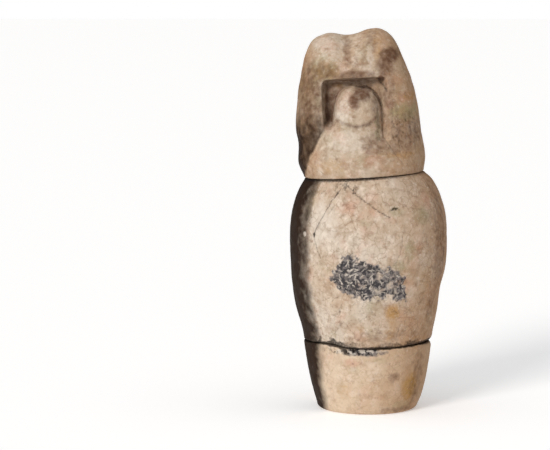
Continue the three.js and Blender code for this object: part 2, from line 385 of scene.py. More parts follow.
print("foot:", len(foot.data.polygons), "faces")

# %% [markdown]
# ## The lid's form
#
# The lid was carved from one block: a wig that closes over the crown, two broad ears pressed together, and a
# niche cut back around a blunt muzzle, which runs down into a bib. The hood is a circle at the hem and
# squarer above it. The muzzle is a rounded block that rises from the niche's floor. It is a little narrower
# on its left than the solid's, and the hollow to the right of it is a little shallower. The lid is drawn
# upright, with x zero in the middle and z zero at the foot of the hem, and then tilted onto the leaning rim.

# %% Sizes of the lid, in millimetres
# HOOD_DEPTH is a share of the hood's half width, and CROWN_SQUARENESS is a power.
LID_SHIFT = -5.6
HEAD_HEIGHT = 133.5
HEAD_RADIUS = 59.5
HEM_HEIGHT = 19.5
HOOD_DEPTH = 0.88
CROWN_START = 100
CROWN_SQUARENESS = 5
HOOD_BACK = 4
TENON_RADIUS = 34
TENON_DEPTH = 12
NICHE_LEFT = -32.5
NICHE_RIGHT = 31
NICHE_TOP = 91.5
NICHE_CORNER = 7
NICHE_DEPTH = 17
MUZZLE_X = -1
MUZZLE_HALF = 23.3
MUZZLE_LIP = 47.5
MUZZLE_DOME = 60
MUZZLE_TOP = 84.5

wig_radius = outline(
    [
        (0.006, 0.941), (0.07, 0.983), (0.127, 1.0), (0.217, 0.983), (0.27, 0.975), (0.33, 0.98),
        (0.434, 0.966), (0.607, 0.911), (0.719, 0.847), (0.831, 0.767), (1.0, 0.645),
    ],
    HEAD_HEIGHT,
    HEAD_RADIUS,
)


def head_radius(z):
    """Half the width of the wig, which closes over the crown."""
    closing = np.clip((z - CROWN_START) / (HEAD_HEIGHT - CROWN_START), 0, 1)
    return wig_radius(z) * rounded(closing, CROWN_SQUARENESS)


print("width of the head in mm:", round(2 * float(head_radius(np.linspace(0, HEAD_HEIGHT)).max()), 1))


# %% How deep the hood, the niche and the muzzle are
TAPER_START = 70
TAPER_END = HEAD_HEIGHT + 5.5
MUZZLE_STAND = 2.2
NEARLY_NOTHING = 1e-6


def hood_depth(z):
    """The hood's depth at a height, as a share of its half width."""
    upright = lerp(0.975, 1, smoothstep(z, 0, 8))
    upright *= lerp(HEAD_RADIUS / wig_radius(z), 1, smoothstep(z, 10, 17))
    crease = lerp(1, 0.965, smoothstep(z, HEM_HEIGHT - 1.5, HEM_HEIGHT + 1.5))
    flat = lerp(crease, HOOD_DEPTH, smoothstep(z, HEM_HEIGHT, 50))
    towards_crown = np.maximum(0, (z - TAPER_START) / (TAPER_END - TAPER_START))
    return upright * flat * np.sqrt(1 - towards_crown**2.8)


def niche_depth(x, z):
    """How far the niche is cut back: square above, steep on the left, soft on the right, open below."""
    to_the_right = x > MUZZLE_X
    out_x = np.maximum(NICHE_LEFT + NICHE_CORNER - x, x - (NICHE_RIGHT - NICHE_CORNER))
    out_z = z - (NICHE_TOP - NICHE_CORNER)
    past_corner = np.hypot(np.maximum(out_x, 0), np.maximum(out_z, 0))
    outside = past_corner + np.minimum(np.maximum(out_x, out_z), 0)
    wall = lerp(3, np.where(to_the_right, 12, 7), smoothstep(out_x - out_z, -4, 4))
    end = np.where(to_the_right, 34, 46)
    inside = 1 - smoothstep(outside - NICHE_CORNER, -wall, 0)
    shallow = lerp(0.68, 0.8, smoothstep(z, 50, 80))
    depth = NICHE_DEPTH * lerp(1, shallow, smoothstep(x, 5, 25))
    return depth * inside * smoothstep(z, end - 7, end + 11)


def core_half_width(z, to_the_right):
    """Half the width of the muzzle, and of the bib that spreads below it."""
    left = 0.74 * np.maximum(0, 49 - z) - 0.16 * np.maximum(0, z - 46)
    right = 0.6 * np.maximum(0, 36 - z)
    return MUZZLE_HALF + np.where(to_the_right, right, left)


def dome_at(z):
    """0 as far up as the muzzle's sides are straight, and 1 at its top."""
    return np.clip((z - MUZZLE_DOME) / (MUZZLE_TOP - MUZZLE_DOME), 0, 1)


def core_share(x, z):
    """1 in the middle of the muzzle and bib and 0 outside them, with a rounded fall between."""
    to_the_right = x > MUZZLE_X
    half = core_half_width(z, to_the_right) * rounded(dome_at(z), np.where(to_the_right, 2.7, 3))
    away = np.minimum(np.abs(x - MUZZLE_X) / (half + NEARLY_NOTHING), 1)
    return np.where(to_the_right, rounded(away, 2.4), rounded(away, 3)) * rounded(dome_at(z), 2.8)


def core_stand(x, z):
    """How far the bib, the neck and the muzzle above its lip stand out from the hood."""
    lip = MUZZLE_LIP + 6 * ((x - MUZZLE_X) / MUZZLE_HALF) ** 2
    bib = 3.4 * smoothstep(z, 2, 26)
    neck = 4.6 * smoothstep(z, 28, MUZZLE_LIP)
    return bib + neck + MUZZLE_STAND * smoothstep(z, lip - 1.5, lip + 1.5)


def ear_rise(x):
    """How much higher the crown stands at the two ears, and lower in the dip between them."""
    ears = 0.6 * bump(x, -22, 6) + 2.9 * bump(x, 23.5, 9.5)
    dip = 2.3 * bump(x, -5, 6) + 1.3 * bump(x, 5, 5)
    return ears - dip


def ear_relief(x, z):
    """How far the front of the crown is cut back between the ears, and swells out where they are."""
    valley = 2.4 * bump(x, -6, 5.5)
    swell = 1.4 * bump(x, 24, 12) + 1.2 * bump(x, -25, 11)
    return smoothstep(z, 90, 108) * (valley - swell)


print("the niche is", NICHE_RIGHT - NICHE_LEFT, "mm wide and the muzzle", 2 * MUZZLE_HALF, "mm")


# %% [markdown]
# The columns of the lid's mesh follow the edges of the niche and the muzzle, row by row, as a carver's guide
# lines would. A straight grid would cut these edges into steps. The guides are the two sides of the hood, of
# the niche and of the muzzle, and each ring moves its columns along with them.

# %% Columns that follow the carving
FRONT_COLUMNS = 300
BACK_COLUMNS = 100
GUIDES = [
    -HEAD_RADIUS, NICHE_LEFT, MUZZLE_X - MUZZLE_HALF,
    MUZZLE_X + MUZZLE_HALF, NICHE_RIGHT, HEAD_RADIUS,
]


def crowd_at_edges(across):
    x = HEAD_RADIUS * np.sin(across)
    return 1 + sum(1.6 * bump(x, edge, 2) for edge in GUIDES[1:-1])


front_turn = spread(-math.pi / 2, math.pi / 2, FRONT_COLUMNS + 1, crowd_at_edges)
front_base = HEAD_RADIUS * np.sin(front_turn)
back_turn = np.linspace(math.pi / 2, 3 * math.pi / 2, BACK_COLUMNS + 1)[1:-1]


def front_columns(z, widest):
    """The columns' places at one height, between the hood's two sides."""
    narrowed = max(0.35, float(rounded(dome_at(z), 2.4)))
    core_left = MUZZLE_X - float(core_half_width(z, False)) * narrowed
    core_right = MUZZLE_X + float(core_half_width(z, True)) * narrowed
    core_left = max(core_left, -0.9 * widest)
    core_right = min(core_right, 0.9 * widest)
    niche_left = min(NICHE_LEFT, lerp(core_left, -widest, 0.3))
    niche_right = max(NICHE_RIGHT, lerp(core_right, widest, 0.3))
    niche_left = max(niche_left, -0.96 * widest)
    niche_right = min(niche_right, 0.96 * widest)
    return np.interp(front_base, GUIDES, [-widest, niche_left, core_left, core_right, niche_right, widest])


print("columns round the lid:", FRONT_COLUMNS + BACK_COLUMNS)


# %% One ring of the lid
def side_step(z):
    """How far each height of the head stands to the side, as the carver left it."""
    return 1.3 * (1 - smoothstep(z, 0, 17)) - 1.7 * smoothstep(z, 26, 46) - 1.6 * smoothstep(z, 88, 114)


def head_ring(z, widest):
    """One ring of the head, in the lid's own frame."""
    power = 2 + 0.6 * float(smoothstep(z, HEM_HEIGHT, 60))
    x = front_columns(z, widest)
    ahead = rounded(x / widest, power)
    s, c = np.sin(back_turn), np.cos(back_turn)
    square = (np.abs(s) ** power + np.abs(c) ** power) ** (-1 / power)
    x = np.concatenate([x, widest * s * square])
    ahead = np.concatenate([ahead, c * square])
    hood = -widest * ahead * hood_depth(z) + HOOD_BACK * smoothstep(z, HEM_HEIGHT, 60)
    facing = smoothstep(ahead, 0.1, 0.45)
    # On the very top the rings get small, and the full relief would push the front of a ring past its back.
    relief = ear_relief(x, z) * smoothstep(widest, 0, 40)
    front = hood + facing * relief
    floor = front + facing * niche_depth(x, z)
    carved = lerp(floor, front - facing * core_stand(x, z), core_share(x, z))
    behind = hood - 0.6 * smoothstep(-ahead, 0, 0.5) * relief
    y = np.where(ahead > 0, carved, behind)
    trimmed = 0.7 * bump(z, 94, 15) * smoothstep(x, 20, 50)
    rise = ear_rise(x) * smoothstep(z, CROWN_START, CROWN_START + 28)
    return np.stack([x + side_step(z) - trimmed, y, z + rise], -1)


# %% The skin of the lid
def crowd_rows(z):
    """Rows lie closer together at the hem, the lip and the tops of the muzzle and the niche."""
    edges = ((HEM_HEIGHT, 1.5), (MUZZLE_LIP, 3), (MUZZLE_TOP, 3), (NICHE_TOP, 2))
    return 1 + sum(1.5 * bump(z, edge, width) for edge, width in edges)


def tenon_ring(radius, z):
    """A round ring of the tenon, with as many points as a ring of the head."""
    ring = head_ring(0, radius)
    turn = np.arctan2(ring[:, 0], -ring[:, 1])
    return np.stack([radius * np.sin(turn), -radius * np.cos(turn), np.full(len(turn), float(z))], -1)


# The crown's rings shrink in even steps, so their heights follow from the curve that closes the crown.
shares = np.linspace(0.84, 0.08, 38)
crown = CROWN_START + (HEAD_HEIGHT - CROWN_START) * rounded(shares, CROWN_SQUARENESS)
head_rows = [*spread(1.2, crown[0] - 0.6, 150, crowd_rows), *crown]
underside = head_radius(0) - 1.5
rings = [tenon_ring(r, -TENON_DEPTH) for r in (2, 12, 24, TENON_RADIUS - 1)]
rings += [tenon_ring(TENON_RADIUS, z) for z in (1 - TENON_DEPTH, -6, -1, 0)]
rings += [head_ring(0, float(r)) for r in np.linspace(TENON_RADIUS + 3, underside, 6)]
rings += [head_ring(z, float(head_radius(z))) for z in head_rows]
rings = np.array(rings)
x, y, z = np.moveaxis(rings, -1, 0)
lid_base = SHOULDER_HEIGHT + LID_SHIFT * math.tan(RIM_LEAN) + JOINT_GAP
tilted_x = x * math.cos(RIM_LEAN) - z * math.sin(RIM_LEAN) + LID_SHIFT
tilted_z = x * math.sin(RIM_LEAN) + z * math.cos(RIM_LEAN) + lid_base
lid = stone_piece("lid_skin", np.stack([tilted_x, y, tilted_z], -1), closed=False)
print("lid:", len(lid.data.polygons), "faces")

# %% [markdown]
# ## Wear, cracks and strokes of writing
#
# Three thousand years have left the stone uneven, pitted and cracked, and a panel of writing was once cut
# into the belly. All of this is real relief, so that the mesh is worth having without its material too. Each
# mark is placed in millimetres on the surface: across is the way round the belly from the front, and up is
# the height. The same marks are kept as masks, so that dirt sits in the very cracks that it belongs to.


# %% Marks on a surface
OCTAVES = 3
OCTAVE_FADE = 0.9
OCTAVE_STEP = 2.1
SEED_STEP = 13.7


def cloud(points, size, seed):
    """Soft random patches of about that size in millimetres, from about -1 to 1."""
    shifted = (points / size + SEED_STEP * seed).tolist()
    return np.array([noise.fractal(place, OCTAVE_FADE, OCTAVE_STEP, OCTAVES) for place in shifted])


def off_line(across, up, stations):
    """How far each point lies from a line through stations."""
    nearest = np.full(across.shape, np.inf)
    for (a, b), (c, d) in zip(stations, stations[1:]):
        along = ((across - a) * (c - a) + (up - b) * (d - b)) / ((c - a) ** 2 + (d - b) ** 2)
        along = np.clip(along, 0, 1)
        nearest = np.minimum(nearest, np.hypot(across - lerp(a, c, along), up - lerp(b, d, along)))
    return nearest


def depth_within(across, up, corners):
    """How far inside a closed outline each point lies, and negative outside it."""
    inside = np.zeros(across.shape, bool)
    for (a, b), (c, d) in zip(corners, corners[1:] + corners[:1]):
        crossed = (b > up) != (d > up)
        inside ^= crossed & (across < a + (up - b) * (c - a) / (d - b if d != b else 1))
    edge = off_line(across, up, corners + corners[:1])
    return np.where(inside, edge, -edge)


def spots(across, up, patches):
    """Soft ovals, each given by its place across and up, its half width and height, and its strength."""
    # A patch is full up to 0.45 of its half size and gone at 1.5 of it.
    painted = np.zeros(across.shape)
    for middle, height, half_width, half_height, strength in patches:
        away = np.hypot((across - middle) / half_width, (up - height) / half_height)
        painted = np.maximum(painted, strength * (1 - smoothstep(away, 0.45, 1.5)))
    return painted


def stains(where, across, up, named_patches):
    """One mask for each named list of patches, which are painted only where that is 1."""
    return {name: where * spots(across, up, patches) for name, patches in named_patches.items()}


def pits(points, where, count, seed):
    """Small random hollows among the points chosen, as a depth in millimetres for each point."""
    draw = np.random.default_rng(seed)
    depth = np.zeros(len(points))
    for centre in points[draw.choice(np.flatnonzero(where), count)]:
        wide = draw.uniform(0.35, 0.75) ** 0.5 * draw.uniform(0.6, 1.2)
        depth = np.maximum(depth, 0.7 * wide * bump(np.linalg.norm(points - centre, axis=1), 0, wide))
    return depth


def unevenness(points, seed):
    """Slow hollows and swellings, kept just under the height that the blank was turned to."""
    slow = 0.3 * cloud(points, 25, seed) + 0.14 * cloud(points, 8, seed + 1)
    slow += 0.05 * cloud(points, 2.5, seed + 2)
    return np.minimum(slow - 0.14, -0.02)


# %% [markdown]
# A crack is its strength and the stations that it runs through, and a hole is its place and width. The panel
# of writing is a soot-darkened field with a ragged outline. What was written can't be made out any more, so
# short bent strokes stand for it, and none of them is a letter or a sign.

# %% Where the jar is cracked, hollowed and written on
CRACKS = [
    (
        0.88,
        [
            (-31, 211), (-34, 204), (-38, 200), (-41, 194), (-44, 189), (-48, 182), (-52, 176), (-54, 171),
            (-55, 168),
        ],
    ),
    (0.7, [(-55, 168), (-53, 160), (-50, 152), (-47, 146)]),
    (
        1.0,
        [(-24, 214), (-16, 209), (-12, 205), (-6, 202), (0, 198), (6, 194), (11, 191), (17, 188), (20, 186)],
    ),
    (1.0, [(21, 192), (26, 194), (31, 193)]),
    (0.55, [(36, 195), (49, 193), (66, 191), (81, 192)]),
    (0.6, [(33, 168), (32, 160), (30, 152), (27, 145), (24, 142)]),
    (0.5, [(118, 214), (124, 190), (117, 160), (126, 131), (121, 104)]),
    (0.5, [(-190, 216), (-182, 196), (-196, 171), (-188, 150)]),
]
HOLES = [(-55, 168, 1.1), (27, 193, 1.0), (24, 193, 0.7), (150, 175, 1.2)]
SOOT = [
    (-37, 129), (-30, 139), (-23, 150), (-17, 153), (-9, 148), (0, 145), (8, 142), (15, 138), (22, 141),
    (27, 136), (38, 130), (35, 121), (40, 109), (29, 108), (18, 113), (8, 110), (-2, 109), (-17, 113),
    (-31, 122),
]
STROKE_WIDTH = 0.7
STROKE_DEPTH = 0.32
CRACK_DEPTH = 0.5
HOLE_DEPTH = 0.9
SCRATCH_COUNT = 48
JAR_PIT_COUNT = 70
print(len(CRACKS), "cracks,", len(HOLES), "holes,", SCRATCH_COUNT, "scratches and", JAR_PIT_COUNT, "pits")


# %% Strokes and scratches, drawn at random
def writing(draw):
    """Rows of short bent strokes inside the panel, none of which is a letter or a sign."""
    strokes = []
    for column in np.arange(-34, 38, 7.6):
        for row in np.arange(112, 154, 5.1):
            for _ in range(draw.integers(1, 3)):
                middle = np.array([column + draw.uniform(-2, 2), row + draw.uniform(-1.2, 1.2)])
                turn = math.radians(draw.choice([0, 45, 90, 135]) + draw.uniform(-18, 18))
                half = draw.uniform(1.2, 2.8) * np.array([math.cos(turn), math.sin(turn)])
                bent = middle + draw.uniform(-0.5, 0.5) * half[::-1] * (1, -1)
                strokes.append([middle - half, bent, middle + half])
    return strokes


def scratches(draw, count):
    """Long faint scratches, most of them low on the front and the rest anywhere."""
    lines = []
    for number in range(count):
        start = np.array([draw.uniform(-64, 40), draw.uniform(70, 112)])
        if number % 3 == 0:
            start = np.array([draw.uniform(-230, 230), draw.uniform(75, 205)])
        turn = math.radians(draw.uniform(-70, 70))
        step = draw.uniform(4, 9) * np.array([math.cos(turn), math.sin(turn)])
        aside = draw.uniform(-0.25, 0.25) * step[::-1] * (1, -1)
        lines.append([start, start + step + aside, start + 2 * step + 2.6 * aside])
    return lines


# %% Work the jar's surface
points, _ = places(jar)
across = np.arctan2(points[:, 0], -points[:, 1]) * BELLY_RADIUS
up = points[:, 2]
turned_up = np.repeat([z for _, z in jar_profile], SECTORS)
outer = np.arange(len(points)) < (len(outer_rows) + len(rim_turn) + len(rim_rows)) * SECTORS
above_break = turned_up - bottom
below_rim = SHOULDER_HEIGHT - turned_up
shown = outer * smoothstep(above_break, 0.3, 3) * smoothstep(below_rim, 0.4, 3)
rough = cloud(points, 7, 40)
wavering = across + 0.9 * rough, up + 0.9 * cloud(points, 6, 41)
cracked = np.zeros(len(points))
for strength, stations in CRACKS:
    cracked = np.maximum(cracked, strength * (1 - smoothstep(off_line(*wavering, stations), 0.3, 1.5)))
for line in scratches(np.random.default_rng(31), SCRATCH_COUNT):
    cracked = np.maximum(cracked, 0.6 * (1 - smoothstep(off_line(*wavering, line), 0.2, 1.3)))
holed = sum(bump(np.hypot(across - a, up - b), 0, width) for a, b, width in HOLES)
# Only the points round the panel are measured against each stroke, which saves time.
panel = outer & (np.abs(across) < 44) & (np.abs(up - 132) < 27)
written = np.zeros(len(points))
for stroke in writing(np.random.default_rng(12)):
    away = off_line(wavering[0][panel], wavering[1][panel], stroke)
    written[panel] = np.maximum(written[panel], 1 - smoothstep(away, 0.15, STROKE_WIDTH + 0.5))
jar_pits = pits(points, outer & (shown > 0.9), JAR_PIT_COUNT, 5)
chipped = 0.24 * bump(above_break, 1.5, 1.5) * (np.abs(rough) > 0.22)
carved = CRACK_DEPTH * cracked + HOLE_DEPTH * holed + STROKE_DEPTH * written + jar_pits + chipped
move_out(jar, shown * (unevenness(points, 50) - carved))
print("strokes and cracks touch", int(((written > 0.3) | (cracked > 0.3)).sum()), "points of the jar")

# %% [markdown]
# The jar's left flank is painted dark, as a painted shadow that fades out towards the back. The soot in the
# panel is thin and blotchy. Dirt has gathered in the cracks and pits. Along the joint under the lid and along
# the break, dirt and painted shade darken the stone, and a painted shadow of the lid's hem lies on the
# shoulder's left. Iron and damp have left soft patches, and each of these is painted as an oval; two pale
# ovals high on the left are a painted highlight. Behind, only the slow drift of the stone's own colour is
# left.

# %% Where the jar is dirty, and where shade is painted on it
soot = smoothstep(depth_within(*wavering, SOOT) + 4 * cloud(points, 4, 42), -4, 4)
soot *= np.clip(0.8 + 0.45 * cloud(points, 9, 44) + 0.2 * smoothstep(-across, -15, 25), 0.35, 1.1)
# Dirt and painted shade darken the crumbled edge of the break and the joint under the lid.
crumbled = bite(jar_bite(across / BELLY_RADIUS), above_break)
joint_dirt = smoothstep(crumbled, 0.1, 0.7)
joint_dirt += (1 - smoothstep(below_rim, 0.6, 2.4)) * lerp(1, 0.55, smoothstep(across, 0, 60))
# A painted shadow of the lid's hem, on the shoulder's left.
joint_dirt += 0.35 * smoothstep(-across, 10, 50) * (1 - smoothstep(below_rim, 1, 8))
dusty = 1.1 * bump(across, -50, 26) + 0.8 * bump(across, 50, 36)
joint_dirt += dusty * (1 - smoothstep(above_break - 5 * rough, 2.5, 7))
speckled = spots(across, up, [(-24, 211, 17, 6, 0.6), (-50, 208, 10, 6, 0.4)]) * (rough > 0.05)
dirt_in_marks = 0.74 * cracked + 1.2 * holed + 0.6 * jar_pits
# The left flank is painted dark: a painted shadow, which fades out towards the back.
from_left = -across + 2 * rough
flank = smoothstep(from_left, 55, 68) * lerp(0.76, 1, smoothstep(from_left, 66, 92))
flank *= 1 - smoothstep(from_left + 14 * cloud(points, 30, 43), 104, 190)
print("dirt lies in the jar's joints at", int((outer * joint_dirt > 0.5).sum()), "points")

# %% Where the jar is stained, and where a highlight is painted on it
JAR_STAINS = {
    "rose": [(-21, 194, 11, 6, 0.65), (67, 200, 7, 9, 0.7), (20, 183, 9, 5, 0.4), (49, 88, 8, 8, 0.4)],
    "ochre": [
        (25, 98, 7.5, 7.5, 1.15), (25, 86, 6, 14, 0.45), (62, 125, 9, 14, 0.4), (-7, 83, 5, 5, 0.4),
    ],
    "olive": [
        (40, 155, 7, 12, 0.8), (30, 141, 9, 6, 0.7), (56, 186, 12, 8, 0.8), (29, 191, 9, 5, 0.8),
        (-3, 181, 7, 5, 0.6),
    ],
    "stain": [(86, 160, 14, 60, 0.5), (78, 99, 9, 15, 0.5), (15, 75, 40, 6, 0.35)],
}
# The small oval is a pale chip; the two broad ones high on the left are a painted highlight.
PALE_CHIPS = [(-68, 168, 2.4, 2.4, 1), (-51, 182, 10, 26, 0.75), (-40, 180, 16, 19, 0.62)]
warm_right = smoothstep(across, -10, 95)
warm_low = 0.4 * smoothstep(across, -45, 10) * (1 - smoothstep(up, 85, 125))
towards_front = smoothstep(-np.abs(across), -190, -120)
note(
    jar,
    flank=outer * flank,
    warmth=warm_low + lerp(0.75, warm_right, towards_front),
    **stains(1, *wavering, JAR_STAINS),
    soot=outer * soot,
    chalk=outer * np.maximum(0.8 * written * soot, spots(across, up, PALE_CHIPS)),
    grime=outer * np.clip(dirt_in_marks + joint_dirt + speckled, 0, 1),
)
print("soot covers", round(100 * float((outer * soot > 0.5).mean())), "% of the jar's points")

# %% Work the foot's surface
FOOT_PIT_COUNT = 24
CRUMBLED_DEPTH = 1.1
points, _ = places(foot)
across = np.arctan2(points[:, 0], -points[:, 1]) * BELLY_RADIUS
up = points[:, 2]
turned_up = np.append(np.repeat([z for _, z in foot_profile], SECTORS), [0, FLOOR_HEIGHT])
inner_radius = hollow_radius(np.maximum(turned_up, FLOOR_HEIGHT))
outer = (np.hypot(points[:, 0], points[:, 1]) > inner_radius + 4) & (turned_up > 0.5)
below_break = top - turned_up
shown = outer * smoothstep(below_break, 0.3, 2.5) * smoothstep(turned_up, 0.5, 4)
rough = cloud(points, 6, 60)
crumbled = spots(across, up, [(-16, 60.5, 34, 4, 1)]) * smoothstep(rough, 0.0, 0.35)
foot_pits = pits(points, outer & (shown > 0.9), FOOT_PIT_COUNT, 6)
move_out(foot, shown * (unevenness(points, 61) - foot_pits - CRUMBLED_DEPTH * crumbled))
print("the foot's front has crumbled at", int((crumbled > 0.3).sum()), "points")

# %% Where the foot is stained, and where shadow is painted on it
FOOT_STAINS = {
    "rose": [(-18, 50, 12, 5, 0.8), (0, 14, 10, 6, 0.4)],
    "ochre": [(60, 25, 14, 13, 1.0), (-32, 22, 12, 9, 0.3)],
    "olive": [(14, 52, 8, 4, 0.6), (50, 8, 20, 5, 0.6)],
    "stain": [(33, 36, 8, 5, 0.6), (45, 4, 30, 3, 0.6), (72, 30, 12, 30, 0.5)],
    # This dark band along the front of the break is dirt and painted shade.
    "soot": [(-8, 60, 30, 4, 0.85)],
}
# The foot's left flank is painted dark in the same way, as a painted shadow.
from_left = -across + 2 * rough - 10 * (1 - up / BREAK_HEIGHT)
flank = smoothstep(from_left, 46, 74) * lerp(0.9, 1, smoothstep(from_left, 66, 90))
flank *= 1 - smoothstep(from_left + 14 * cloud(points, 30, 63), 104, 190)
warm_right = smoothstep(across, -45, 75)
towards_front = smoothstep(-np.abs(across), -190, -120)
# Dirt and painted shade darken the foot's crumbled edge at the break.
joint_dirt = 1 - smoothstep(below_break, 0.3, 2 + 1.5 * rough)
note(
    foot,
    flank=outer * flank,
    warmth=lerp(0.75, warm_right, towards_front),
    **stains(1, across, up, FOOT_STAINS),
    chalk=outer * spots(across, up, [(-16, 61, 34, 3, 0.9)]) * smoothstep(-rough, 0.05, 0.3),
    grime=outer * np.clip(crumbled + foot_pits + joint_dirt, 0, 1),
)
print("the dark flank covers", round(100 * float((outer * flank > 0.5).mean())), "% of the foot's points")

# %% [markdown]
# On the lid the marks are placed on the upright head, before its tilt: across is the distance from its middle
# line and up is the height above the hem's foot. A groove runs over the muzzle and down its right side, and a
# soft lip crosses it low down. The right side of the wig is pitted.

# %% Where the lid is grooved
GROOVES = [
    (0.6, 0.9, [(-1, 84), (8, 83), (14, 80), (18, 73), (21, 65)]),
    (0.2, 1.3, [(21, 65), (23, 56), (23, 42)]),
    (0.6, 1.0, [(20, 89), (23, 84), (26, 78)]),
    (0.35, 1.5, [(17, 58), (17.5, 47), (16, 35)]),
]
LIP = [(-20, 54), (-12, 50), (-6, 48), (2, 47.5), (9, 50), (16, 55)]
GROOVE_DEPTH = 0.9
LID_PIT_COUNT = 60
RIGHT_PIT_COUNT = 70
print(len(GROOVES), "grooves,", LID_PIT_COUNT, "pits all round and", RIGHT_PIT_COUNT, "more on the right")

# %% Work the lid's surface
local = np.vstack([rings.reshape(-1, 3), rings[0].mean(0), rings[-1].mean(0)])
across, up = local[:, 0], local[:, 2]
in_front = local[:, 1] < 0
shown = smoothstep(up, 0.4, 3)
rough = cloud(local, 6, 70)
wavering = across + 1.6 * rough, up + 1.6 * cloud(local, 7, 71)
grooved = np.zeros(len(local))
for share, width, stations in GROOVES:
    near = bump(off_line(across + 0.4 * rough, up, stations), 0, width)
    grooved = np.maximum(grooved, in_front * share * near)
right_of_wig = in_front & (up > 18) & (up < 62) & (across > 18)
lid_pits = pits(local, (shown > 0.9) & ~(in_front & (up > 50)), LID_PIT_COUNT, 7)
lid_pits = np.maximum(lid_pits, pits(local, right_of_wig, RIGHT_PIT_COUNT, 8))
swelling = np.minimum(0.4 * cloud(local, 22, 72), 0.1)
move_out(lid, shown * (swelling + unevenness(local, 73) - GROOVE_DEPTH * grooved - lid_pits))
print("grooves touch", int((grooved > 0.1).sum()), "points of the lid")

# %% Where the lid is dirty, and where shade is painted on it
# The lid's lower left, beside the bib, is painted dark as a shadow, like the jar's flank.
lappet_edge = np.interp(up, [0, 9, 19, 37, 53, 64], [-52, -51, -47, -36.5, -27, -21])
left_of_bib = np.where(in_front, lappet_edge - across, 20) + 1.5 * rough
to_the_left = -np.arctan2(local[:, 0], -local[:, 1]) * HEAD_RADIUS
flank = smoothstep(left_of_bib, -1, 3) * (1 - smoothstep(up + 7 * rough, 36, 78)) * (across < 0)
flank *= lerp(0.8, 1, smoothstep(to_the_left, 60, 85))
flank *= 1 - smoothstep(to_the_left + 14 * cloud(local, 30, 75), 90, 160)
face_x = across - side_step(up)
# Brown stain and painted shade in the niche, darkest towards its left wall.
hollowed = in_front * niche_depth(face_x, up) / NICHE_DEPTH * (1 - core_share(face_x, up))
hollowed *= lerp(1, 0.6, smoothstep(up, 74, 84)) * lerp(0.6, 1, smoothstep(-across, -5, 20))
# A painted shadow under the muzzle's lip.
lip = in_front * bump(off_line(across + 0.5 * rough, up, LIP), 0, 1.7)
freckled = spots(across, up, [(42, 39, 20, 18, 0.31), (-45, 40, 10, 18, 0.25), (26, 30, 12, 8, 0.25)])
# The hem's lowest edge, at the joint, is darkened with dirt and painted shade.
joint_dirt = (1 - smoothstep(up, 0.2, 1.3)) * (up > -1)
print("the dark flank covers", round(100 * float((flank > 0.5).mean())), "% of the lid's points")

# %% Where the lid is stained, and where shade and a highlight are painted on it
LID_STAINS = {
    "rose": [(-26, 122, 12, 7, 0.6), (-12, 70, 11, 13, 0.7), (12, 15, 14, 6, 0.6), (44, 72, 8, 5, 0.7)],
    "ochre": [
        (-28, 12, 12, 7, 0.45), (36, 19, 14, 3, 0.5), (47, 72, 6, 4, 0.6), (-18, 86, 6, 2.5, 0.9),
        (20, 119, 4, 14, 0.4), (-30, 98, 13, 8, 0.5),
    ],
    "olive": [
        (-30, 101, 15, 12, 0.9), (-46, 78, 14, 26, 0.6), (40, 58, 16, 9, 0.9), (17, 46, 3, 15, 0.9),
        (8, 114, 8, 14, 0.5),
    ],
    # The oval just above the brow is painted shade, where the ledge turns down.
    "soot": [(0, 93, 15, 3, 0.34), (42, 38, 20, 16, 0.16), (7, 82, 8, 3, 0.3)],
    # The pale oval high on the lid's upper left is a painted highlight.
    "chalk": [
        (-14, 62, 8, 14, 0.6), (-12, 34, 16, 12, 0.6), (-30, 124, 11, 6, 0.6), (2, 119, 6, 12, 0.4),
        (13, 109, 4, 14, 0.55), (-22, 114, 12, 9, 0.5),
    ],
}
# Mostly brown stains; the band under the brow, the shade above it and right of the muzzle are painted shade.
BROWN_PATCHES = [
    (-33, 97, 17, 11, 0.7), (-44, 76, 14, 34, 0.82), (-8, 116, 4, 16, 0.6), (31, 110, 9, 7, 1.3),
    (26, 101, 8, 11, 0.9), (0, 94.5, 19, 5, 0.85), (-5, 90, 30, 3.5, 0.7), (3.5, 77, 9, 7, 1.15),
    (-3, 71, 6, 7, 1), (22, 90, 4, 3, 1.2), (29, 72, 7, 20, 0.6), (19, 54, 5, 19, 0.35), (8, 82, 8, 4, 0.8),
    (12, 30, 14, 10, 0.6), (35, 26, 18, 7, 0.5), (40, 40, 20, 18, 0.55), (15, 124, 5, 12, 0.4),
    (5, 108, 11, 15, 0.4), (16, 69, 6, 14, 0.5),
]
warm_right = lerp(0.25, 0.9, smoothstep(across, -15, 55))
warm_left = 0.8 * smoothstep(-across, 30, 48)
patched = in_front * spots(*wavering, BROWN_PATCHES)
note(
    lid,
    flank=flank * (up > 0),
    warmth=lerp(0.8, np.maximum(warm_right, warm_left), in_front),
    **stains(in_front, *wavering, LID_STAINS),
    stain=np.maximum.reduce([1.1 * hollowed, 0.75 * lip, patched]),
    grime=np.clip(0.6 * lid_pits + 1.2 * grooved + in_front * freckled + joint_dirt, 0, 1),
)
print("brown patches cover", round(100 * float((patched > 0.3).mean())), "% of the lid's points")


# %% [markdown]
# A skin stands in for its solid, so it must not stray far from it. The distance to the solid is measured at
# every seventh point. It is greatest where the break has crumbled, and on the lid in the hollow right of the
# muzzle.


# %% How closely the skins follow the solids
MEASURED_EVERY = 7


def furthest_from_solid(piece, solid):
    tree = BVHTree.FromObject(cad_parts[solid], bpy.context.evaluated_depsgraph_get())
    found = (tree.find_nearest(vertex.co) for vertex in list(piece.data.vertices)[::MEASURED_EVERY])
    return max(distance for _, _, _, distance in found) / MM


for piece, solid in ((jar, "jar_body"), (foot, "jar_foot"), (lid, "lid")):
    print(piece.name, "is at most", round(furthest_from_solid(piece, solid), 2), "mm off its solid")

